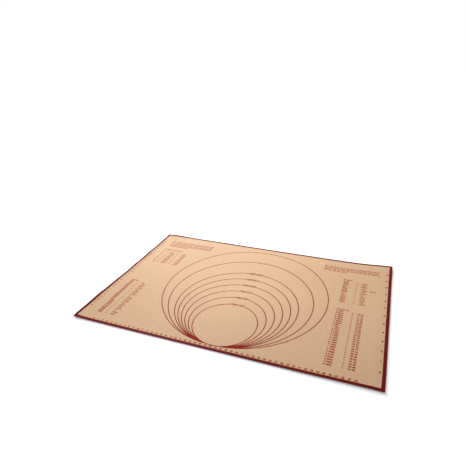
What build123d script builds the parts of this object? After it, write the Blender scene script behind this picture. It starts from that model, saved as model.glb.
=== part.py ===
"""Silicone baking mat, lying flat.

Millimetres, +Z up. The origin is the middle of the underside. X runs along the
long front edge and Y runs away from it, towards the back edge. The mat is a
woven glass cloth between two tan silicone coats, with a red silicone band
moulded round the cloth's raw edge, and red silicone print raised on the top.
"""
import os
from math import sqrt

from build123d import *

os.makedirs("parts", exist_ok=True)

# Sheet, cut for a tray of 600 by 400
mat_length = 585
mat_width = 385
corner_radius = 2

# Layers, from the underside up
base_coat_thickness = 0.25
cloth_thickness = 0.2
top_coat_thickness = 0.3
ink_thickness = 0.05

# Edge band
band_width = 6
band_grip = 3
band_proud = 0.1
band_edge_round = 0.2
window_radius = 1

# Guide rings, all touching one point near the front edge
ring_front_margin = 12.2
ring_back_margin = 22.8
ring_side_gap = 10
ring_line = 1.8
ring_tip_width = 0.2
ring_step_counts = (5, 6, 7, 8, 9, 10, 12, 14)

# Numerals that break each ring at its back
ring_mark_length = 28
ring_mark_height = 5.4
ring_mark_clearance = 1
ring_mark_offset = 2.5

# Rulers
centimetre_pitch = 10
inch_pitch = 25.4
ruler_end_margin = 42.5
front_ruler_gap = 0.4
left_ruler_inset = 11
right_ruler_inset = 9.5
numeral_height = 3.6
digit_width = 2.3
inch_numeral_height = 4.4
inch_digit_width = 2.9
digit_gap = 0.3
one_digit_count = 10

# Printed notes and tables
print_pitch = 6.375
print_height = 2.8
middle_print_height = 3.5
large_print_height = 3.8
left_print_margin = 33
back_notes_margin = 35
front_tables_margin = 31
left_note_length = 123
left_note_last_length = 56
left_note_lines = 5
right_note_margin = 27.5
right_note_length = 120
right_note_last_length = 50
right_note_lines = 4
left_back_table_margin = 86
left_back_table_rows = 10
left_back_late_rows = 1
right_table_margin = 99
right_back_table_margin = 90.5
right_back_table_rows = 13
left_table_gap = 89.5
right_table_gap = 27.6
equals_width = 2.5
back_heading_length = 46
left_heading_length = 18
upper_heading_length = 17
lower_heading_length = 27

# Table columns: how far each starts from the table's left side, and its length
short_column_start = 1
short_column_length = 5
short_equals_start = 13
middle_column_start = 23
middle_column_length = 13
middle_equals_start = 43
far_column_start = 57
far_column_length = 11
name_column_start = 0
name_column_length = 9
name_equals_start = 19
value_column_start = 30
value_column_length = 13
word_column_start = 1
word_column_length = 14
word_equals_start = 30.5
word_equals_back_start = 28.5
amount_column_start = 40.5
amount_column_back_start = 38.5
amount_column_length = 12
aside_start = 57
aside_length = 13

# Worked-out sizes
window_length = mat_length - 2 * band_width
window_width = mat_width - 2 * band_width
cloth_length = window_length + 2 * band_grip
cloth_width = window_width + 2 * band_grip
cloth_z = base_coat_thickness
top_coat_z = cloth_z + cloth_thickness
print_z = top_coat_z + top_coat_thickness
band_thickness = print_z + band_proud

front_y = -mat_width / 2
back_y = mat_width / 2
left_x = -mat_length / 2
right_x = mat_length / 2


# Base coat
with BuildPart() as base_silicone_coat:
    with BuildSketch():
        RectangleRounded(window_length, window_width, window_radius)
    extrude(amount=base_coat_thickness)
base_silicone_coat.part.label = "base_silicone_coat"
export_step(base_silicone_coat.part, "parts/base_silicone_coat.step")


# Woven glass cloth, reaching into the band's groove
with BuildPart() as glass_cloth_core:
    with BuildSketch(Plane.XY.offset(cloth_z)):
        RectangleRounded(cloth_length, cloth_width, window_radius)
    extrude(amount=cloth_thickness)
glass_cloth_core.part.label = "glass_cloth_core"
export_step(glass_cloth_core.part, "parts/glass_cloth_core.step")


# Top coat
with BuildPart() as top_silicone_coat:
    with BuildSketch(Plane.XY.offset(top_coat_z)):
        RectangleRounded(window_length, window_width, window_radius)
    extrude(amount=top_coat_thickness)
top_silicone_coat.part.label = "top_silicone_coat"
export_step(top_silicone_coat.part, "parts/top_silicone_coat.step")


# Edge band: a frame of U section that grips the cloth's edge in its groove
with BuildPart() as edge_band:
    with BuildSketch():
        RectangleRounded(mat_length, mat_width, corner_radius)
    extrude(amount=band_thickness)
    fillet(edge_band.faces().sort_by(Axis.Z)[-1].edges(), band_edge_round)
    fillet(edge_band.faces().sort_by(Axis.Z)[0].edges(), band_edge_round)
    with BuildSketch():
        RectangleRounded(window_length, window_width, window_radius)
    extrude(amount=band_thickness, mode=Mode.SUBTRACT)
    with BuildSketch(Plane.XY.offset(cloth_z)):
        RectangleRounded(cloth_length, cloth_width, window_radius)
    extrude(amount=cloth_thickness, mode=Mode.SUBTRACT)
edge_band.part.label = "edge_band"
export_step(edge_band.part, "parts/edge_band.step")


# Guide rings: diameters are whole steps, and the largest fills the space that is
# tighter, from the front edge to the back or from the left tables to the right
left_tables_end_x = left_x + left_print_margin + far_column_start + far_column_length
right_tables_x = right_x - right_table_margin
ring_depth = mat_width - ring_front_margin - ring_back_margin
ring_breadth = right_tables_x - left_tables_end_x - 2 * ring_side_gap
ring_x = (left_tables_end_x + right_tables_x) / 2
ring_touch_y = front_y + ring_front_margin
largest_ring = min(ring_depth, ring_breadth)
ring_step = largest_ring / max(ring_step_counts)
ring_radii = [count * ring_step / 2 for count in ring_step_counts]
ring_gap_length = ring_mark_length + 2 * ring_mark_clearance
ring_gap_height = ring_mark_height + 2 * ring_mark_clearance


def ring_disc(radius, outer_radius, mode=Mode.ADD):
    """Draw a disc centred where the ring of this radius is."""
    with Locations((ring_x, ring_touch_y + radius)):
        Circle(outer_radius, mode=mode)


for number, radius in enumerate(ring_radii, start=1):
    with BuildPart() as guide_ring:
        with BuildSketch(Plane.XY.offset(print_z)):
            ring_disc(radius, radius + ring_line / 2)
            ring_disc(radius, radius - ring_line / 2, Mode.SUBTRACT)
            with Locations((ring_x + ring_mark_offset, ring_touch_y + 2 * radius)):
                Rectangle(ring_gap_length, ring_gap_height, mode=Mode.SUBTRACT)
            if number > 1:
                # The next smaller ring prints first, and this one stops where it
                # has drawn in to the width of its tips
                inner = ring_radii[number - 2]
                ring_disc(inner, inner + ring_line / 2, Mode.SUBTRACT)
                bend = 1 / (inner + ring_line / 2) - 1 / (radius + ring_line / 2)
                tip_x = sqrt(2 * ring_tip_width / bend)
                with Locations((ring_x, ring_touch_y)):
                    Rectangle(2 * tip_x, inner, mode=Mode.SUBTRACT)
        extrude(amount=ink_thickness)
    guide_ring.part.label = f"guide_ring_{number}"
    export_step(guide_ring.part, f"parts/guide_ring_{number}.step")


# Ring sizes, one group of numerals in the gap of each ring
with BuildPart() as ring_size_numerals:
    with BuildSketch(Plane.XY.offset(print_z)):
        for radius in ring_radii:
            with Locations((ring_x + ring_mark_offset, ring_touch_y + 2 * radius)):
                Rectangle(ring_mark_length, ring_mark_height)
    extrude(amount=ink_thickness)
ring_size_numerals.part.label = "ring_size_numerals"
export_step(ring_size_numerals.part, "parts/ring_size_numerals.step")


def ruler_steps(side_length, unit):
    """Whole units that fit between the two end margins of a side."""
    return round((side_length - 2 * ruler_end_margin) / unit)


def numeral_pads(places, digits, width=digit_width, height=numeral_height):
    """Draw pads at these places, as wide as their digits."""
    with Locations(*places):
        Rectangle(digits * width + (digits - 1) * digit_gap, height)


# Front ruler, in centimetres from left to right, in front of the rings
front_steps = ruler_steps(mat_length, centimetre_pitch)
front_ruler_y = ring_touch_y - ring_line / 2 - front_ruler_gap - numeral_height / 2
front_places = [
    ((step - front_steps / 2) * centimetre_pitch, front_ruler_y) for step in range(front_steps + 1)
]
with BuildPart() as front_ruler_numerals:
    with BuildSketch(Plane.XY.offset(print_z)):
        numeral_pads(front_places[:one_digit_count], 1)
        numeral_pads(front_places[one_digit_count:], 2)
    extrude(amount=ink_thickness)
front_ruler_numerals.part.label = "front_ruler_numerals"
export_step(front_ruler_numerals.part, "parts/front_ruler_numerals.step")


# Left ruler, in centimetres from front to back
left_steps = ruler_steps(mat_width, centimetre_pitch)
left_ruler_x = left_x + left_ruler_inset
left_places = [
    (left_ruler_x, (step - left_steps / 2) * centimetre_pitch) for step in range(left_steps + 1)
]
with BuildPart() as left_ruler_numerals:
    with BuildSketch(Plane.XY.offset(print_z)):
        numeral_pads(left_places[:one_digit_count], 1)
        numeral_pads(left_places[one_digit_count:], 2)
    extrude(amount=ink_thickness)
left_ruler_numerals.part.label = "left_ruler_numerals"
export_step(left_ruler_numerals.part, "parts/left_ruler_numerals.step")


# Right ruler, in inches from front to back, its numerals larger
right_steps = ruler_steps(mat_width, inch_pitch)
right_ruler_x = right_x - right_ruler_inset
right_places = [
    (right_ruler_x, (step - right_steps / 2) * inch_pitch) for step in range(right_steps + 1)
]
with BuildPart() as right_ruler_numerals:
    with BuildSketch(Plane.XY.offset(print_z)):
        numeral_pads(right_places[:one_digit_count], 1, inch_digit_width, inch_numeral_height)
        numeral_pads(right_places[one_digit_count:], 2, inch_digit_width, inch_numeral_height)
    extrude(amount=ink_thickness)
right_ruler_numerals.part.label = "right_ruler_numerals"
export_step(right_ruler_numerals.part, "parts/right_ruler_numerals.step")


def print_column(start_x, first_y, length, rows, height=print_height):
    """Draw lines of print as bars, one below the other, from start_x to the right."""
    middle_y = first_y - (rows - 1) * print_pitch / 2
    with Locations((start_x + length / 2, middle_y)):
        with GridLocations(print_pitch, print_pitch, 1, rows):
            Rectangle(length, height)


def print_note(start_x, first_y, length, last_length, lines):
    """Draw a paragraph: full lines, then a short last line."""
    print_column(start_x, first_y, length, lines - 1)
    print_column(start_x, first_y - (lines - 1) * print_pitch, last_length, 1)


def print_table(start_x, first_y, heading_length, rows, columns):
    """Draw a table: a heading, then one bar for each row of each column."""
    print_column(start_x, first_y + print_pitch, heading_length, 1)
    for column_start, column_length, height in columns:
        print_column(start_x + column_start, first_y, column_length, rows, height)


left_print_x = left_x + left_print_margin
notes_y = back_y - back_notes_margin
last_row_y = front_y + front_tables_margin


# Note in the back left corner
with BuildPart() as back_left_note:
    with BuildSketch(Plane.XY.offset(print_z)):
        print_note(left_print_x, notes_y, left_note_length, left_note_last_length, left_note_lines)
    extrude(amount=ink_thickness)
back_left_note.part.label = "back_left_note"
export_step(back_left_note.part, "parts/back_left_note.step")


# Note in the back right corner
right_note_x = right_x - right_note_margin - right_note_length
with BuildPart() as back_right_note:
    with BuildSketch(Plane.XY.offset(print_z)):
        print_note(right_note_x, notes_y, right_note_length, right_note_last_length, right_note_lines)
    extrude(amount=ink_thickness)
back_right_note.part.label = "back_right_note"
export_step(back_right_note.part, "parts/back_right_note.step")


# Table behind the middle of the left side, three columns with an equals sign between.
# The two wide columns start a row later.
left_back_row_y = back_y - left_back_table_margin
back_left_columns = (
    (short_column_start, short_column_length, middle_print_height),
    (short_equals_start, equals_width, print_height),
    (middle_equals_start, equals_width, print_height),
)
late_columns = ((middle_column_start, middle_column_length), (far_column_start, far_column_length))
late_row_y = left_back_row_y - left_back_late_rows * print_pitch
late_rows = left_back_table_rows - left_back_late_rows
with BuildPart() as back_left_table:
    with BuildSketch(Plane.XY.offset(print_z)):
        print_table(
            left_print_x, left_back_row_y, back_heading_length, left_back_table_rows, back_left_columns
        )
        for column_start, column_length in late_columns:
            print_column(left_print_x + column_start, late_row_y, column_length, late_rows)
    extrude(amount=ink_thickness)
back_left_table.part.label = "back_left_table"
export_step(back_left_table.part, "parts/back_left_table.step")


# Table at the front of the left side, as many rows as the space takes
left_back_end_y = left_back_row_y - (left_back_table_rows - 1) * print_pitch
left_front_rows = round((left_back_end_y - left_table_gap - last_row_y) / print_pitch)
left_front_row_y = last_row_y + (left_front_rows - 1) * print_pitch
front_left_columns = (
    (name_column_start, name_column_length, large_print_height),
    (name_equals_start, equals_width, print_height),
    (value_column_start, value_column_length, print_height),
)
with BuildPart() as front_left_table:
    with BuildSketch(Plane.XY.offset(print_z)):
        print_table(
            left_print_x, left_front_row_y, left_heading_length, left_front_rows, front_left_columns
        )
    extrude(amount=ink_thickness)
front_left_table.part.label = "front_left_table"
export_step(front_left_table.part, "parts/front_left_table.step")


# Table behind the middle of the right side, with one aside beside its rows
back_right_columns = (
    (word_column_start, word_column_length, middle_print_height),
    (word_equals_back_start, equals_width, print_height),
    (amount_column_back_start, amount_column_length, print_height),
)
right_back_row_y = back_y - right_back_table_margin
aside_row_share = 1 / 3
aside_y = right_back_row_y - round(right_back_table_rows * aside_row_share) * print_pitch
with BuildPart() as back_right_table:
    with BuildSketch(Plane.XY.offset(print_z)):
        print_table(
            right_tables_x,
            right_back_row_y,
            upper_heading_length,
            right_back_table_rows,
            back_right_columns,
        )
        print_column(right_tables_x + aside_start, aside_y, aside_length, 1)
    extrude(amount=ink_thickness)
back_right_table.part.label = "back_right_table"
export_step(back_right_table.part, "parts/back_right_table.step")


# Table at the front of the right side, as many rows as the space takes
right_back_end_y = right_back_row_y - (right_back_table_rows - 1) * print_pitch
right_front_rows = round((right_back_end_y - right_table_gap - last_row_y) / print_pitch)
right_front_row_y = last_row_y + (right_front_rows - 1) * print_pitch
front_right_columns = (
    (word_column_start, word_column_length, middle_print_height),
    (word_equals_start, equals_width, print_height),
    (amount_column_start, amount_column_length, middle_print_height),
)
with BuildPart() as front_right_table:
    with BuildSketch(Plane.XY.offset(print_z)):
        print_table(
            right_tables_x, right_front_row_y, lower_heading_length, right_front_rows, front_right_columns
        )
    extrude(amount=ink_thickness)
front_right_table.part.label = "front_right_table"
export_step(front_right_table.part, "parts/front_right_table.step")

print(f"rings {[round(2 * radius) for radius in ring_radii]}")
print(f"ruler steps {front_steps}, {left_steps} and {right_steps}")
print(f"table rows {left_front_rows} at the left front and {right_front_rows} at the right front")
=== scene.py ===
from math import cos, exp, pi, radians, sqrt
from textwrap import wrap

import bpy
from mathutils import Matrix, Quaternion, Vector


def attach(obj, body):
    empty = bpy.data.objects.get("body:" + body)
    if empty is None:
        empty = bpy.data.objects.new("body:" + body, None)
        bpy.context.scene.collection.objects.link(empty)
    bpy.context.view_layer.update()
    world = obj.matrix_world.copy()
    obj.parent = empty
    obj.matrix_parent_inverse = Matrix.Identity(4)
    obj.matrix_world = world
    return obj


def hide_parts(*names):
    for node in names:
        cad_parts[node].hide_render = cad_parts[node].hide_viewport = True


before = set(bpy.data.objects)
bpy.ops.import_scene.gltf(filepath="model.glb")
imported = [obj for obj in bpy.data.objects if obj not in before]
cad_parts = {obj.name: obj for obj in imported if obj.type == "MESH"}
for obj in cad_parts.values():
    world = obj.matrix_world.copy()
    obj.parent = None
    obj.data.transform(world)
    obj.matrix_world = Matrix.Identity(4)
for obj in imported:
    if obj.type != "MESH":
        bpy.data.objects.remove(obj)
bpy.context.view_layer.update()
bpy.ops.object.select_all(action="DESELECT")


# Camera: handheld, from in front and a little to the right, looking down on the mat.
# It leans a little, and the mat stands low in its picture.
camera_place = Vector((0.2524, -0.6804, 0.4897))
camera_aim = Vector((-0.1284, 0.2621, 0.0))
camera_lean = radians(-2.2)

bpy.ops.object.camera_add(location=camera_place)
camera = bpy.context.object
camera.name = "camera"
camera.data.sensor_width = 36
camera.data.lens = 31.07
camera.rotation_mode = "QUATERNION"
level_look = (camera_aim - camera_place).to_track_quat("-Z", "Y")
camera.rotation_quaternion = level_look @ Quaternion((0, 0, 1), camera_lean)
bpy.context.scene.camera = camera


# Worktop: a white table that runs on without an edge. Near the mat it takes the
# mat's shadow, and its glow is turned down there, which paints a grey shade round
# the mat; further out it is plain white.
mat_half_length = 0.2925
mat_half_width = 0.1925
shadow_reach = 0.03
worktop_size = 12
worktop_drop = 0.0001

bpy.ops.mesh.primitive_plane_add(size=worktop_size, location=(0, 0, -worktop_drop))
worktop = bpy.context.object
worktop.name = "worktop"


def new_material(name):
    """Make a material with nothing in it but its output, and return its nodes and links."""
    material = bpy.data.materials.new(name)
    material.use_nodes = True
    material.node_tree.nodes.clear()
    return material, material.node_tree.nodes, material.node_tree.links


def math_node(nodes, links, operation, *values):
    """Add a Math node fed by sockets or numbers, and return its result."""
    node = nodes.new("ShaderNodeMath")
    node.operation = operation
    for socket, value in zip(node.inputs, values):
        if isinstance(value, (int, float)):
            socket.default_value = value
        else:
            links.new(value, socket)
    return node.outputs[0]


def seen_directly(nodes, links):
    """One for a ray from the camera, a mirror or a glass, and none for the light itself."""
    path = nodes.new("ShaderNodeLightPath").outputs
    bare = math_node(nodes, links, "MAXIMUM", path["Is Camera Ray"], path["Is Glossy Ray"])
    return math_node(nodes, links, "MAXIMUM", bare, path["Is Transmission Ray"])


white_paint, nodes, links = new_material("white_worktop")
matte = nodes.new("ShaderNodeBsdfDiffuse")
matte.inputs["Color"].default_value = (0.95, 0.95, 0.95, 1)
glow = nodes.new("ShaderNodeEmission")
both = nodes.new("ShaderNodeAddShader")
axes = nodes.new("ShaderNodeSeparateXYZ")
links.new(nodes.new("ShaderNodeTexCoord").outputs["Object"], axes.inputs[0])
beside = math_node(nodes, links, "ABSOLUTE", axes.outputs["X"])
beside = math_node(nodes, links, "SUBTRACT", beside, mat_half_length)
ahead = math_node(nodes, links, "ABSOLUTE", axes.outputs["Y"])
ahead = math_node(nodes, links, "SUBTRACT", ahead, mat_half_width)
# Painted shade: the glow is weakest at the mat's edge and grows to full strength shadow_reach out.
painted_shade_fade = nodes.new("ShaderNodeMapRange")
painted_shade_fade.inputs["From Min"].default_value = 0
painted_shade_fade.inputs["From Max"].default_value = shadow_reach
painted_shade_fade.inputs["To Min"].default_value = 0.3
painted_shade_fade.inputs["To Max"].default_value = 1.0
links.new(math_node(nodes, links, "MAXIMUM", beside, ahead), painted_shade_fade.inputs["Value"])
strength = math_node(nodes, links, "MULTIPLY", painted_shade_fade.outputs[0], seen_directly(nodes, links))
links.new(strength, glow.inputs["Strength"])
links.new(matte.outputs[0], both.inputs[0])
links.new(glow.outputs[0], both.inputs[1])
links.new(both.outputs[0], nodes.new("ShaderNodeOutputMaterial").inputs["Surface"])
worktop.data.materials.append(white_paint)


# Light: a soft box hangs above the back left part of the mat, a broad window lamp
# stands low behind it on the left and throws its short shadow, and the room is dim.
soft_box_place = (-0.105, 0.14, 0.75)
bpy.ops.object.light_add(type="AREA", location=soft_box_place)
soft_box = bpy.context.object
soft_box.name = "soft_box"
soft_box.data.shape = "DISK"
soft_box.data.size = 0.35
soft_box.data.energy = 3.5
soft_box.visible_camera = False

window_place = Vector((-1.35, 2.27, 1.02))
bpy.ops.object.light_add(type="AREA", location=window_place)
window_lamp = bpy.context.object
window_lamp.name = "window_lamp"
window_lamp.data.shape = "RECTANGLE"
window_lamp.data.size = 1.17
window_lamp.data.size_y = 0.91
window_lamp.data.energy = 64
window_lamp.rotation_mode = "QUATERNION"
window_lamp.rotation_quaternion = (-window_place).to_track_quat("-Z", "Y")
window_lamp.visible_camera = False

room = bpy.data.worlds.new("white_room")
room.use_nodes = True
bpy.context.scene.world = room
nodes = room.node_tree.nodes
links = room.node_tree.links
nodes.clear()
dim = nodes.new("ShaderNodeBackground")
dim.inputs["Color"].default_value = (1, 1, 1, 1)
dim.inputs["Strength"].default_value = 0.13
backdrop = nodes.new("ShaderNodeBackground")
backdrop.inputs["Color"].default_value = (1, 1, 1, 1)
backdrop.inputs["Strength"].default_value = 1
choice = nodes.new("ShaderNodeMixShader")
links.new(seen_directly(nodes, links), choice.inputs["Fac"])
links.new(dim.outputs[0], choice.inputs[1])
links.new(backdrop.outputs[0], choice.inputs[2])
links.new(choice.outputs[0], nodes.new("ShaderNodeOutputWorld").inputs["Surface"])
bpy.context.scene.view_settings.view_transform = "Standard"


# Base silicone coat: the tan underside, 0.25 mm of food-grade silicone rubber spread
# on the cloth. It ends at the edge band's window. The sheet has been rolled up, so it
# doesn't lie quite flat: it has low waves, and two of its corners curl up.
window_length = 0.573
window_width = 0.373
window_radius = 0.001
base_thickness = 0.00025
cell = 0.004
rest_gap = 0.0001
scallop_pitch = 0.068
scallop_shift = 0.118
corner_steps = 4
coat_smoothing = radians(30)


def swell(x, y, middle_x, middle_y, reach_x, reach_y, height):
    """A soft rise of the sheet, highest at its middle."""
    return height * exp(-(((x - middle_x) / reach_x) ** 2) - ((y - middle_y) / reach_y) ** 2)


def lift(x, y):
    """How far the sheet's underside lies above the worktop here, in metres."""
    left_roll = swell(x, y, -0.255, 0.035, 0.115, 0.22, 0.0038)
    middle_wave = swell(x, y, 0.06, -0.065, 0.10, 0.11, 0.0029)
    back_wave = swell(x, y, -0.015, 0.21, 0.105, 0.255, 0.0009)
    back_left_wave = swell(x, y, -0.15, 0.20, 0.105, 0.075, 0.0020)
    back_right_wave = swell(x, y, 0.12, 0.13, 0.22, 0.055, 0.0019)
    front_left_wave = swell(x, y, -0.10, -0.23, 0.075, 0.03, 0.0032)
    front_right_wave = swell(x, y, 0.235, -0.185, 0.10, 0.08, 0.0015)
    middle_hollow = swell(x, y, -0.04, 0.02, 0.11, 0.10, -0.0009)
    left_rim = swell(x, y, -0.315, -0.12, 0.03, 0.07, 0.0070)
    right_rim = swell(x, y, 0.285, 0.0, 0.03, 0.14, 0.0023)
    back_left_curl = swell(x, y, -0.275, 0.215, 0.045, 0.03, 0.0050)
    back_right_curl = swell(x, y, 0.30, 0.195, 0.055, 0.04, 0.0044)
    left_edge = swell(x, y, -mat_half_length, 0, 0.02, 0.4, 0.0004)
    scallops = cos(2 * pi * (y + scallop_shift) / scallop_pitch) * left_edge
    return (
        left_roll
        + middle_wave
        + back_wave
        + back_left_wave
        + back_right_wave
        + front_left_wave
        + front_right_wave
        + middle_hollow
        + left_rim
        + right_rim
        + back_left_curl
        + back_right_curl
        + scallops
        + rest_gap
    )


def lay_on_waves(piece):
    """Lift a flat piece's points onto the sheet's waves. Its front corners aren't quite square."""
    for vertex in piece.data.vertices:
        x, y, z = vertex.co
        stretch = swell(x, y, -mat_half_length, -mat_half_width, 0.06, 0.05, 0.0034)
        shrink = swell(x, y, 0.235, -mat_half_width, 0.045, 0.02, 0.0016)
        tuck = swell(x, y, 0.27, -mat_half_width, 0.06, 0.02, 0.0008)
        vertex.co = (x - stretch - shrink, y + tuck, z + lift(x, y))
    piece.data.update()


def select_where(piece, kind, wanted):
    """Select the vertices, edges or faces whose middle passes a test, and stay in edit mode."""
    bpy.ops.object.mode_set(mode="EDIT")
    bpy.ops.mesh.select_mode(type=kind)
    bpy.ops.mesh.select_all(action="DESELECT")
    bpy.ops.object.mode_set(mode="OBJECT")
    mesh = piece.data
    for part in {"VERT": mesh.vertices, "EDGE": mesh.edges, "FACE": mesh.polygons}[kind]:
        if kind == "VERT":
            middle = part.co
        elif kind == "EDGE":
            middle = (mesh.vertices[part.vertices[0]].co + mesh.vertices[part.vertices[1]].co) / 2
        else:
            middle = part.center
        part.select = bool(wanted(middle))
    bpy.ops.object.mode_set(mode="EDIT")


def flat_layer(name, length, width, radius, low_z, thickness):
    """Cut one layer of the sheet: a fine grid with rounded corners, given its thickness."""
    bpy.ops.mesh.primitive_grid_add(
        x_subdivisions=round(length / cell),
        y_subdivisions=round(width / cell),
        size=1,
        location=(0, 0, low_z),
    )
    layer = bpy.context.object
    layer.name = name
    layer.data.name = name
    layer.scale = (length, width, 1)
    bpy.ops.object.transform_apply(location=True, rotation=True, scale=True)
    corner_x = length / 2 - cell / 4
    corner_y = width / 2 - cell / 4
    select_where(layer, "VERT", lambda spot: abs(spot.x) > corner_x and abs(spot.y) > corner_y)
    bpy.ops.mesh.bevel(offset=radius, offset_type="OFFSET", segments=corner_steps, affect="VERTICES")
    bpy.ops.mesh.select_all(action="SELECT")
    bpy.ops.mesh.extrude_region_move(TRANSFORM_OT_translate={"value": (0, 0, thickness)})
    bpy.ops.mesh.select_all(action="SELECT")
    bpy.ops.mesh.normals_make_consistent(inside=False)
    bpy.ops.object.mode_set(mode="OBJECT")
    lay_on_waves(layer)
    bpy.ops.object.shade_smooth_by_angle(angle=coat_smoothing)
    return layer


base_coat = flat_layer(
    "base_coat", window_length, window_width, window_radius, 0, base_thickness
)


def plain_weave(nodes, links, pitch):
    """Height of a plain weave, from 0 between the yarns to 1 on top of them."""
    place = nodes.new("ShaderNodeTexCoord")
    axes = nodes.new("ShaderNodeSeparateXYZ")
    links.new(place.outputs["Object"], axes.inputs[0])
    flat = nodes.new("ShaderNodeCombineXYZ")
    crowns = []
    for number, axis in enumerate(("X", "Y")):
        links.new(axes.outputs[axis], flat.inputs[number])
        turn = math_node(nodes, links, "MULTIPLY", axes.outputs[axis], pi / pitch)
        wave = math_node(nodes, links, "SINE", turn)
        crowns.append(math_node(nodes, links, "ABSOLUTE", wave))
    over = nodes.new("ShaderNodeTexChecker")
    over.inputs["Scale"].default_value = 1 / pitch
    links.new(flat.outputs[0], over.inputs["Vector"])
    top = nodes.new("ShaderNodeMix")
    links.new(over.outputs["Fac"], top.inputs["Factor"])
    links.new(crowns[0], top.inputs["A"])
    links.new(crowns[1], top.inputs["B"])
    return place.outputs["Object"], top.outputs["Result"]


def mottle(nodes, links, place, size, detail=3):
    """Uneven patches of about this size, from 0 to 1."""
    noise = nodes.new("ShaderNodeTexNoise")
    noise.inputs["Scale"].default_value = 1 / size
    noise.inputs["Detail"].default_value = detail
    links.new(place, noise.inputs["Vector"])
    return noise.outputs["Fac"]


def blend_colours(nodes, links, share, first, second):
    """Blend two colours, each a socket or three numbers, by a share from 0 to 1."""
    mix = nodes.new("ShaderNodeMix")
    mix.data_type = "RGBA"
    links.new(share, mix.inputs["Factor"])
    for name, colour in (("A", first), ("B", second)):
        socket = [found for found in mix.inputs if found.name == name and found.type == "RGBA"][0]
        if isinstance(colour, tuple):
            socket.default_value = (*colour, 1)
        else:
            links.new(colour, socket)
    return [found for found in mix.outputs if found.type == "RGBA"][0]


def spread(nodes, links, value, low, high):
    """Spread a value from 0 to 1 over another span."""
    span = nodes.new("ShaderNodeMapRange")
    span.inputs["To Min"].default_value = low
    span.inputs["To Max"].default_value = high
    links.new(value, span.inputs["Value"])
    return span.outputs[0]


def relief(nodes, links, height, depth, strength):
    """Bump from a height between 0 and 1, this deep in metres."""
    bump = nodes.new("ShaderNodeBump")
    bump.inputs["Strength"].default_value = strength
    bump.inputs["Distance"].default_value = depth
    links.new(height, bump.inputs["Height"])
    return bump


yarn_pitch = 0.0009
tan_between_yarns = (0.735, 0.475, 0.278)
tan_over_yarns = (0.805, 0.535, 0.330)
tan_dark_patch = (0.765, 0.50, 0.298)
tan_light_patch = (0.80, 0.53, 0.322)

tan_silicone, nodes, links = new_material("tan_silicone")
sheet_place, weave = plain_weave(nodes, links, yarn_pitch)
cloudy = mottle(nodes, links, sheet_place, size=0.09)
grainy = mottle(nodes, links, sheet_place, size=0.0007, detail=2)
leathery = mottle(nodes, links, sheet_place, size=0.0028, detail=2)
rubber = nodes.new("ShaderNodeBsdfPrincipled")
silicone = blend_colours(nodes, links, weave, tan_between_yarns, tan_over_yarns)
shade = blend_colours(nodes, links, cloudy, tan_dark_patch, tan_light_patch)
half = spread(nodes, links, cloudy, low=0.45, high=0.55)
tan = blend_colours(nodes, links, half, silicone, shade)
grain = nodes.new("ShaderNodeHueSaturation")
links.new(spread(nodes, links, leathery, low=0.83, high=1.17), grain.inputs["Value"])
links.new(tan, grain.inputs["Color"])
links.new(grain.outputs[0], rubber.inputs["Base Color"])
links.new(spread(nodes, links, grainy, low=0.55, high=0.68), rubber.inputs["Roughness"])
rubber.inputs["Specular IOR Level"].default_value = 0.08
skin = relief(nodes, links, weave, depth=0.00004, strength=0.5)
fine = relief(nodes, links, grainy, depth=0.00001, strength=0.4)
links.new(skin.outputs[0], fine.inputs["Normal"])
links.new(fine.outputs[0], rubber.inputs["Normal"])
links.new(rubber.outputs[0], nodes.new("ShaderNodeOutputMaterial").inputs["Surface"])

base_coat.data.materials.append(tan_silicone)
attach(base_coat, "root")
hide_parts("base_silicone_coat")


# Glass cloth: the woven core that keeps the sheet from stretching, 0.2 mm of plain
# weave glass yarn. It lies between the two coats, and its raw edge reaches 3 mm into
# the groove of the edge band.
cloth_length = 0.579
cloth_width = 0.379
cloth_thickness = 0.0002
ivory_between_yarns = (0.62, 0.56, 0.44)
ivory_over_yarns = (0.9, 0.86, 0.76)

glass_cloth = flat_layer(
    "glass_cloth", cloth_length, cloth_width, window_radius, base_thickness, cloth_thickness
)

glass_yarn, nodes, links = new_material("glass_yarn")
cloth_place, weave = plain_weave(nodes, links, yarn_pitch)
uneven = mottle(nodes, links, cloth_place, size=0.004)
yarn = nodes.new("ShaderNodeBsdfPrincipled")
ivory = blend_colours(nodes, links, weave, ivory_between_yarns, ivory_over_yarns)
links.new(ivory, yarn.inputs["Base Color"])
links.new(spread(nodes, links, uneven, low=0.35, high=0.5), yarn.inputs["Roughness"])
crossings = relief(nodes, links, weave, depth=0.0001, strength=0.9)
links.new(crossings.outputs[0], yarn.inputs["Normal"])
links.new(yarn.outputs[0], nodes.new("ShaderNodeOutputMaterial").inputs["Surface"])

glass_cloth.data.materials.append(glass_yarn)
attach(glass_cloth, "root")
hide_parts("glass_cloth_core")


# Top silicone coat: the tan face that food lies on, 0.3 mm of satin silicone rubber,
# thin enough for the weave to show through it.
top_z = base_thickness + cloth_thickness
top_thickness = 0.0003

top_coat = flat_layer(
    "top_coat", window_length, window_width, window_radius, top_z, top_thickness
)
top_coat.data.materials.append(tan_silicone)
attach(top_coat, "root")
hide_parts("top_silicone_coat")


# Edge band: dark red silicone moulded round the raw edge of the cloth as a frame of
# U section, 6 mm wide. It stands 0.1 mm proud of the tan face and seals the edge.
band_length = 0.585
band_width = 0.385
band_radius = 0.002
face_z = top_z + top_thickness
band_proud = 0.0001
band_thickness = face_z + band_proud
outer_round = 0.0002
inner_round = 0.00008
long_cuts = 116
short_cuts = 76
near_middle = 0.01
rim_width = 0.001
tolerance = 1e-5
rounding_steps = 3
band_smoothing = radians(40)
band_dark_streak = (0.165, 0.009, 0.006)
band_light_streak = (0.215, 0.013, 0.009)


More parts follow.
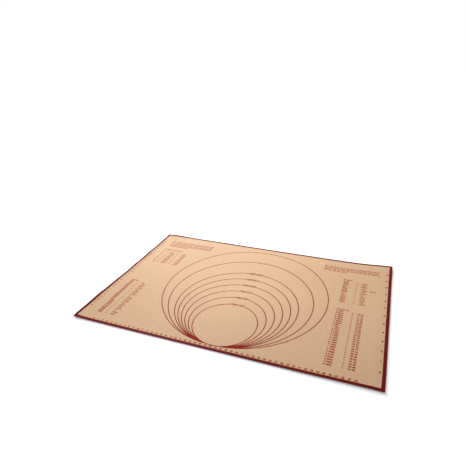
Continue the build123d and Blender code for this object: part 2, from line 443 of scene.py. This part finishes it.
def outline(length, width, radius):
    """Draw one rounded rectangle of the band, its sides divided so that they can follow waves."""
    bpy.ops.mesh.primitive_plane_add(size=1)
    sketch = bpy.context.object
    sketch.scale = (length, width, 1)
    bpy.ops.object.transform_apply(location=True, rotation=True, scale=True)
    bpy.ops.object.mode_set(mode="EDIT")
    bpy.ops.mesh.select_all(action="SELECT")
    bpy.ops.mesh.bevel(offset=radius, offset_type="OFFSET", segments=corner_steps, affect="VERTICES")
    bpy.ops.mesh.select_all(action="SELECT")
    bpy.ops.mesh.delete(type="ONLY_FACE")
    select_where(sketch, "EDGE", lambda spot: abs(spot.x) < near_middle)
    bpy.ops.mesh.subdivide(number_cuts=long_cuts)
    select_where(sketch, "EDGE", lambda spot: abs(spot.y) < near_middle)
    bpy.ops.mesh.subdivide(number_cuts=short_cuts)
    bpy.ops.object.mode_set(mode="OBJECT")
    return sketch


inner_outline = outline(window_length, window_width, window_radius)
edge_band = outline(band_length, band_width, band_radius)
edge_band.name = "edge_band_silicone"
edge_band.data.name = "edge_band_silicone"
inner_outline.select_set(True)
bpy.ops.object.join()
bpy.ops.object.mode_set(mode="EDIT")
bpy.ops.mesh.select_mode(type="EDGE")
bpy.ops.mesh.select_all(action="SELECT")
bpy.ops.mesh.bridge_edge_loops()
bpy.ops.mesh.select_mode(type="FACE")
bpy.ops.mesh.select_all(action="SELECT")
for step in (base_thickness, cloth_thickness, band_thickness - top_z):
    bpy.ops.mesh.extrude_region_move(TRANSFORM_OT_translate={"value": (0, 0, step)})


def in_window(spot):
    """Whether a middle is inside the band's window or on its edge."""
    inside_x = abs(spot.x) < window_length / 2 + tolerance
    inside_y = abs(spot.y) < window_width / 2 + tolerance
    return inside_x and inside_y


def on_groove_wall(spot):
    """Whether a face's middle is on the wall that faces the window, level with the cloth."""
    return in_window(spot) and base_thickness < spot.z < top_z


def on_outer_rim(spot):
    """Whether an edge's middle is on the outer rim of the band's top or underside."""
    outside_x = abs(spot.x) > band_length / 2 - rim_width
    outside_y = abs(spot.y) > band_width / 2 - rim_width
    return (outside_x or outside_y) and (spot.z < tolerance or spot.z > band_thickness - tolerance)


def on_window_rim(spot):
    """Whether an edge's middle is on the rim of the band's top, round the window."""
    return in_window(spot) and spot.z > band_thickness - tolerance


select_where(edge_band, "FACE", on_groove_wall)
bpy.ops.mesh.extrude_region_move()
bpy.ops.transform.resize(
    value=(cloth_length / window_length, cloth_width / window_width, 1),
    center_override=(0, 0, 0),
)
for rim, rounding in ((on_outer_rim, outer_round), (on_window_rim, inner_round)):
    select_where(edge_band, "EDGE", rim)
    bpy.ops.mesh.bevel(
        offset=rounding, offset_type="OFFSET", segments=rounding_steps, affect="EDGES"
    )
bpy.ops.mesh.select_all(action="SELECT")
bpy.ops.mesh.normals_make_consistent(inside=False)
bpy.ops.object.mode_set(mode="OBJECT")
lay_on_waves(edge_band)
bpy.ops.object.shade_smooth_by_angle(angle=band_smoothing)

red_silicone, nodes, links = new_material("red_silicone")
place = nodes.new("ShaderNodeTexCoord").outputs["Object"]
streaky = mottle(nodes, links, place, size=0.02)
pebbly = mottle(nodes, links, place, size=0.0005, detail=2)
rubber = nodes.new("ShaderNodeBsdfPrincipled")
dark_red = blend_colours(nodes, links, streaky, band_dark_streak, band_light_streak)
links.new(dark_red, rubber.inputs["Base Color"])
links.new(spread(nodes, links, pebbly, low=0.5, high=0.65), rubber.inputs["Roughness"])
rubber.inputs["Specular IOR Level"].default_value = 0.03
pores = relief(nodes, links, pebbly, depth=0.00002, strength=0.5)
links.new(pores.outputs[0], rubber.inputs["Normal"])
links.new(rubber.outputs[0], nodes.new("ShaderNodeOutputMaterial").inputs["Surface"])

edge_band.data.materials.append(red_silicone)
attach(edge_band, "root")
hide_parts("edge_band")


# Guide rings: eight circles of red silicone ink, printed on the tan face to roll dough
# out to. They all touch one point near the front edge, where each larger ring stops at
# the side of the smaller one. Each is broken at its back for its numerals.
ring_diameters = (0.125, 0.150, 0.175, 0.200, 0.225, 0.250, 0.300, 0.350)
ring_x = 0.001
ring_touch_y = -0.1803
ring_line = 0.0018
ring_points = 360
ring_tip = 0.0002
ink = 0.00005
mark_x = 0.0035
mark_gap = 0.030
punch_depth = 0.004
back_reach = 0.01
front_reach = 0.02


def ink_material(name, dark, light):
    """Matt silicone ink, a little patchy, between a dark and a light red."""
    material, nodes, links = new_material(name)
    place = nodes.new("ShaderNodeTexCoord").outputs["Object"]
    patchy = mottle(nodes, links, place, size=0.006)
    pebbly = mottle(nodes, links, place, size=0.0004, detail=2)
    rubber = nodes.new("ShaderNodeBsdfPrincipled")
    links.new(blend_colours(nodes, links, patchy, dark, light), rubber.inputs["Base Color"])
    links.new(spread(nodes, links, pebbly, low=0.5, high=0.65), rubber.inputs["Roughness"])
    rubber.inputs["Specular IOR Level"].default_value = 0.03
    pores = relief(nodes, links, pebbly, depth=0.00001, strength=0.5)
    links.new(pores.outputs[0], rubber.inputs["Normal"])
    links.new(rubber.outputs[0], nodes.new("ShaderNodeOutputMaterial").inputs["Surface"])
    return material


ring_ink = ink_material("ring_ink", dark=(0.26, 0.012, 0.008), light=(0.34, 0.018, 0.012))


def finish_print(piece, name, node, material):
    """Give a flat print its ink and name, lay it on the sheet, and put it in its node's place."""
    piece.name = name
    piece.data.name = name
    piece.data.materials.clear()
    piece.data.materials.append(material)
    lay_on_waves(piece)
    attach(piece, "root")
    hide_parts(node)


def draw_ring(radius):
    """Draw one whole ring, broken at its back for its numerals, and give it the ink's height."""
    bpy.ops.mesh.primitive_circle_add(
        vertices=ring_points,
        radius=radius + ring_line / 2,
        fill_type="NGON",
        location=(ring_x, ring_touch_y + radius, face_z),
    )
    ring = bpy.context.object
    bpy.ops.object.transform_apply(location=True, rotation=True, scale=True)
    bpy.ops.object.mode_set(mode="EDIT")
    bpy.ops.mesh.select_all(action="SELECT")
    bpy.ops.mesh.inset(thickness=ring_line)
    bpy.ops.mesh.delete(type="FACE")
    back_y = ring_touch_y + 2 * radius - back_reach
    for side in (-1, 1):
        select_where(ring, "FACE", lambda spot: spot.y > back_y)
        bpy.ops.mesh.bisect(plane_co=(mark_x + side * mark_gap / 2, 0, 0), plane_no=(1, 0, 0))
    select_where(ring, "FACE", lambda spot: spot.y > back_y and abs(spot.x - mark_x) < mark_gap / 2)
    bpy.ops.mesh.delete(type="FACE")
    bpy.ops.mesh.select_all(action="SELECT")
    bpy.ops.mesh.extrude_region_move(TRANSFORM_OT_translate={"value": (0, 0, ink)})
    bpy.ops.mesh.select_all(action="SELECT")
    bpy.ops.mesh.normals_make_consistent(inside=False)
    bpy.ops.object.mode_set(mode="OBJECT")
    return ring


def stop_at_smaller(ring, radius, smaller):
    """Cut away what would print over the smaller ring, then the thin tips that are left."""
    bpy.ops.mesh.primitive_cylinder_add(
        vertices=ring_points,
        radius=smaller + ring_line / 2,
        depth=punch_depth,
        location=(ring_x, ring_touch_y + smaller, face_z),
    )
    punch = bpy.context.object
    cut = ring.modifiers.new("cut", "BOOLEAN")
    cut.operation = "DIFFERENCE"
    cut.solver = "EXACT"
    cut.object = punch
    bpy.context.view_layer.objects.active = ring
    bpy.ops.object.modifier_apply(modifier="cut")
    bpy.data.objects.remove(punch)
    ring.select_set(True)
    bend = 1 / (smaller + ring_line / 2) - 1 / (radius + ring_line / 2)
    tip_x = sqrt(2 * ring_tip / bend)
    front_y = ring_touch_y + front_reach
    for side in (-1, 1):
        select_where(ring, "FACE", lambda spot: spot.y < front_y)
        bpy.ops.mesh.bisect(plane_co=(ring_x + side * tip_x, 0, 0), plane_no=(1, 0, 0))
    select_where(ring, "FACE", lambda spot: spot.y < front_y and abs(spot.x - ring_x) < tip_x)
    bpy.ops.mesh.delete(type="FACE")
    bpy.ops.mesh.select_all(action="SELECT")
    bpy.ops.mesh.fill_holes(sides=0)
    bpy.ops.mesh.select_all(action="SELECT")
    bpy.ops.mesh.normals_make_consistent(inside=False)
    bpy.ops.object.mode_set(mode="OBJECT")


smaller = None
for number, diameter in enumerate(ring_diameters, start=1):
    radius = diameter / 2
    ring = draw_ring(radius)
    if smaller:
        stop_at_smaller(ring, radius, smaller)
    smaller = radius
    finish_print(ring, f"ring_{round(diameter * 1000)}", f"guide_ring_{number}", ring_ink)


# Ring numerals: in the gap of every ring, its size in millimetres and in centimetres,
# in the same raised red ink. The two largest rings have thinner ones.
digit_height = 0.7
ring_mark_size = 0.0054 / digit_height
ring_bold = 0.047
far_ring_bold = 0.016
far_ring = 0.280
merge_distance = 1e-7
number_ink = ink_material("number_ink", dark=(0.35, 0.026, 0.008), light=(0.44, 0.037, 0.011))


def number_print(words, size, x, y, align="LEFT", pitch=0, bold=0.06):
    """Print numbers on the tan face. The first line's middle is at y, the rest are below."""
    bpy.ops.object.text_add(location=(x, y - digit_height / 2 * size, face_z + ink / 2))
    text = bpy.context.object
    text.data.body = words
    text.data.size = size
    text.data.align_x = align
    text.data.extrude = ink / 2
    text.data.offset = bold * size
    text.data.resolution_u = 2
    if pitch:
        text.data.space_line = pitch / size
    bpy.ops.object.convert(target="MESH")
    bpy.ops.object.transform_apply(location=True, rotation=True, scale=True)
    bpy.ops.object.mode_set(mode="EDIT")
    bpy.ops.mesh.select_all(action="SELECT")
    bpy.ops.mesh.remove_doubles(threshold=merge_distance)
    bpy.ops.mesh.normals_make_consistent(inside=False)
    bpy.ops.object.mode_set(mode="OBJECT")
    return bpy.context.object


def join_print(marks, name, node, material):
    """Join the marks of one block of print, and finish it as one piece."""
    bpy.ops.object.select_all(action="DESELECT")
    for mark in marks:
        mark.select_set(True)
    bpy.context.view_layer.objects.active = marks[0]
    if len(marks) > 1:
        bpy.ops.object.join()
    finish_print(marks[0], name, node, material)


marks = []
for diameter in ring_diameters:
    size_text = f"{diameter * 1000:.0f}={diameter * 100:.1f}"
    back_y = ring_touch_y + diameter
    bold = ring_bold if diameter < far_ring else far_ring_bold
    marks.append(number_print(size_text, ring_mark_size, mark_x, back_y, "CENTER", bold=bold))
join_print(marks, "ring_numerals", "ring_size_numerals", ring_ink)


# Rulers: numerals alone, without a line or ticks. The front and left ones count
# centimetres, and the right one inches.
ruler_size = 0.0036 / digit_height
inch_size = 0.0044 / digit_height
centimetre = 0.01
inch = 0.0254
front_ruler_y = -0.1834
front_count = 50
left_ruler_x = -0.2815
left_count = 30
right_ruler_x = 0.283
right_count = 12


def from_middle(count, step):
    """How far each numeral from 0 to count stands from the middle one."""
    return [(number - count / 2) * step for number in range(count + 1)]


def print_ruler(name, node, size, places):
    """Print a ruler's numerals, counted from 0, one with its middle at each place."""
    marks = []
    for number, (x, y) in enumerate(places):
        marks.append(number_print(str(number), size, x, y, "CENTER"))
    join_print(marks, name, node, number_ink)


front_places = [(x, front_ruler_y) for x in from_middle(front_count, centimetre)]
left_places = [(left_ruler_x, y) for y in from_middle(left_count, centimetre)]
right_places = [(right_ruler_x, y) for y in from_middle(right_count, inch)]
print_ruler("front_ruler", "front_ruler_numerals", ruler_size, front_places)
print_ruler("left_ruler", "left_ruler_numerals", ruler_size, left_places)
print_ruler("right_ruler", "right_ruler_numerals", inch_size, right_places)


# Notes: a paragraph of print in each of the two back corners. Plain numbers fill them:
# squares on the left and triangular numbers on the right.
print_size = 0.0028 / digit_height
print_pitch = 0.006375
notes_y = 0.1575
left_print_x = -0.2595
left_note_bold = 0.055
right_note_x = 0.145
right_note_size = 0.0042


def paragraph(numbers, width, lines, last_width):
    """Fill lines of a width in characters with numbers. The last line is shorter."""
    filled = wrap(" ".join(str(number) for number in numbers), width)[:lines]
    filled[-1] = filled[-1][:last_width].strip()
    return "\n".join(filled)


squares = [count * count for count in range(10, 99)]
words = paragraph(squares, width=68, lines=5, last_width=31)
note = number_print(
    words, print_size, left_print_x, notes_y, pitch=print_pitch, bold=left_note_bold
)
join_print([note], "left_note", "back_left_note", number_ink)

triangles = [count * (count + 1) // 2 for count in range(12, 90)]
words = paragraph(triangles, width=65, lines=4, last_width=27)
note = number_print(words, right_note_size, right_note_x, notes_y, pitch=print_pitch)
join_print([note], "right_note", "back_right_note", number_ink)


# Left tables: rows of numbers in even columns with equals signs between, a heading above
# each table. Some columns are in larger digits.
large_size = 0.0038 / digit_height
middle_size = 0.0035 / digit_height
sign_size = 0.0044
back_left_row_y = 0.1065
front_left_row_y = -0.04675


def print_table(first_x, first_y, heading, columns):
    """Print a table: its heading, then every column as one text of many lines."""
    marks = [number_print(heading, print_size, first_x, first_y + print_pitch)]
    for start, lines, size in columns:
        words = "\n".join(lines)
        marks.append(number_print(words, size, first_x + start, first_y, pitch=print_pitch))
    return marks


rows = range(1, 11)
columns = (
    (0.001, [f"{row}" for row in rows], middle_size),
    (0.013, ["="] * len(rows), sign_size),
    (0.023, [""] + [f"{4.9375 * row:.4f}" for row in rows[1:]], print_size),
    (0.043, ["="] * len(rows), sign_size),
    (0.057, [""] + [f"{row / 3:.4f}" for row in rows[1:]], print_size),
)
heading = "100 200 300 400 500 600 700"
marks = print_table(left_print_x, back_left_row_y, heading, columns)
join_print(marks, "back_left_numbers", "back_left_table", number_ink)

rows = range(80, 261, 10)
columns = (
    (0, [f"{row * 5}" for row in rows], large_size),
    (0.019, ["="] * len(rows), sign_size),
    (0.030, [f"{row / 64:g}" for row in rows], print_size),
)
marks = print_table(left_print_x, front_left_row_y, "1000 2000", columns)
join_print(marks, "front_left_numbers", "front_left_table", number_ink)


# Right tables: two more of the same print, in even columns with equals signs between.
# One more number stands beside the back one.
right_print_x = 0.1935
back_right_row_y = 0.102
front_right_row_y = -0.0085

rows = range(1, 14)
columns = (
    (0.001, [f"{14.125 * row:.4g}" for row in rows], middle_size),
    (0.0285, ["="] * len(rows), print_size),
    (0.0385, [f"{1 + row / 32:g}" for row in rows], print_size),
    (0.057, ["\n\n\n\n456.789"], print_size),
)
marks = print_table(right_print_x, back_right_row_y, "100 200 30", columns)
join_print(marks, "back_right_numbers", "back_right_table", number_ink)

rows = range(1, 26)
columns = (
    (0.0005, [f"{row % 9 + 1} {100.125 * row:.4g}" for row in rows], middle_size),
    (0.0305, ["="] * len(rows), sign_size),
    (0.0405, [f"{row + 9} {2 * row + 40}" for row in rows], middle_size),
)
marks = print_table(right_print_x, front_right_row_y, "1000 2000 300", columns)
join_print(marks, "front_right_numbers", "front_right_table", number_ink)


bpy.ops.object.select_all(action="DESELECT")
